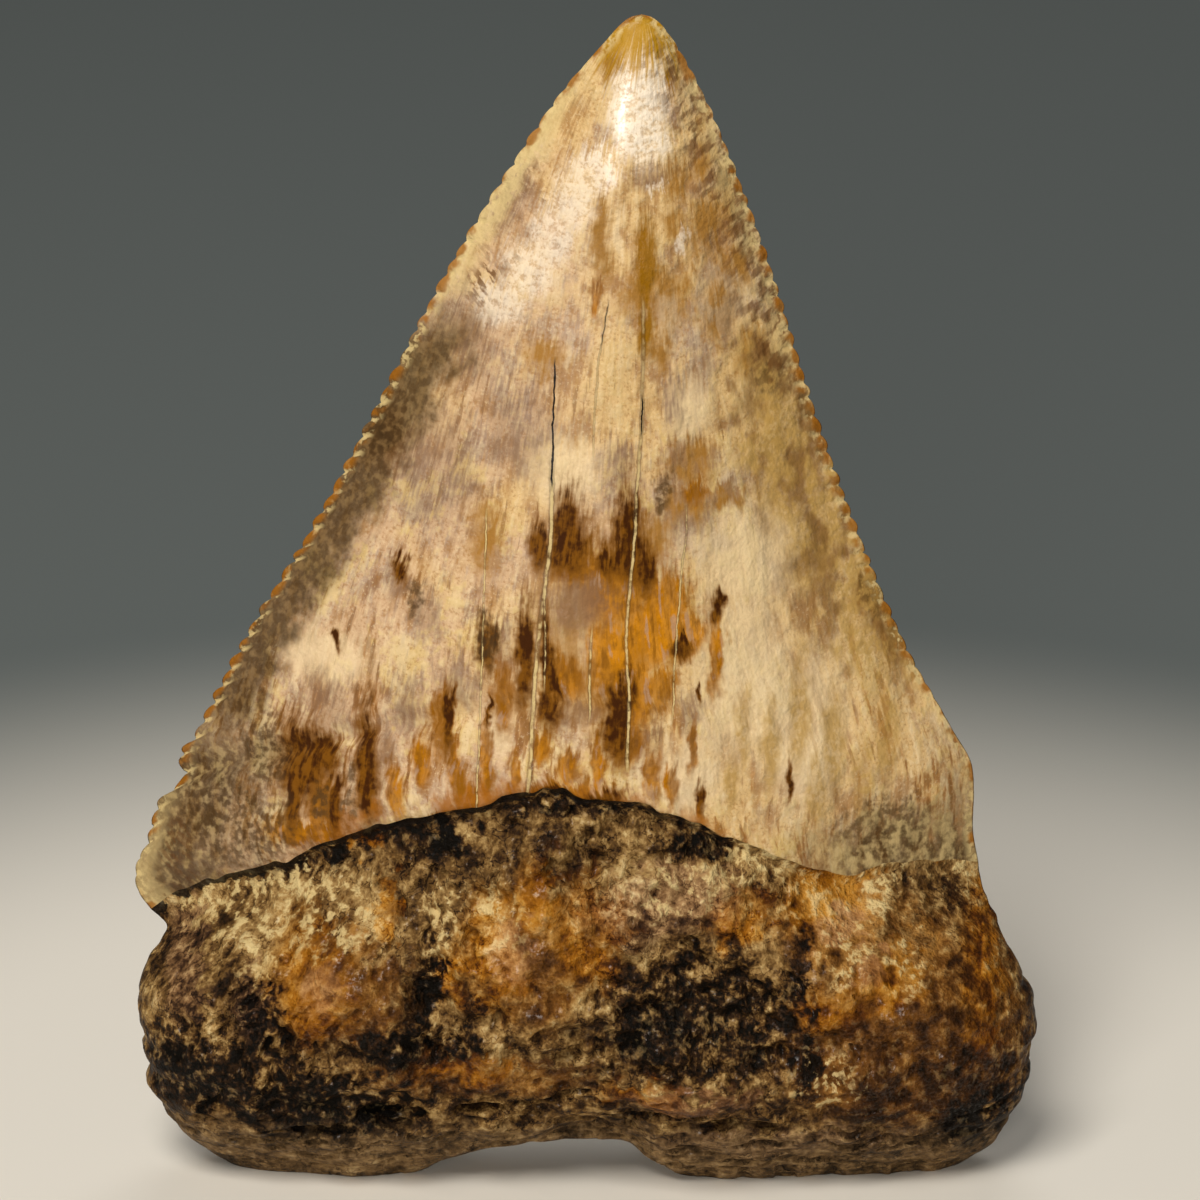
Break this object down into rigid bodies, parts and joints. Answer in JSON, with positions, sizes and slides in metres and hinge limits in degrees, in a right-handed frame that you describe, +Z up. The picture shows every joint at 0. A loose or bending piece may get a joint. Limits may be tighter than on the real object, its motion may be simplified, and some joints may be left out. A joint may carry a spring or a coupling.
{
  "type": "fossil great white shark tooth",
  "caption": "Fossil shark tooth: a broad triangular blade with serrated cutting edges on a thick, gnarled root, standing on the worn flats of its root lobes.",
  "frame": {"origin": "middle of the tooth's box, on the plane that the worn flats of the root lobes rest on", "axes": "+Z up along the blade to its point, +X across the blade towards the edge with the smoother foot, -Y out of the domed inner face, +Y out of the flatter outer face"},
  "size_m": [0.044, 0.012, 0.0571],
  "materials": {
    "fossil_enamel_and_root": "mineralised enamel, satin and cream with amber and umber stains, over a dull, pitted ochre and black-brown root"
  },
  "bodies": {
    "root": {"tooth": "fossil_enamel_and_root"}
  },
  "joints": []
}
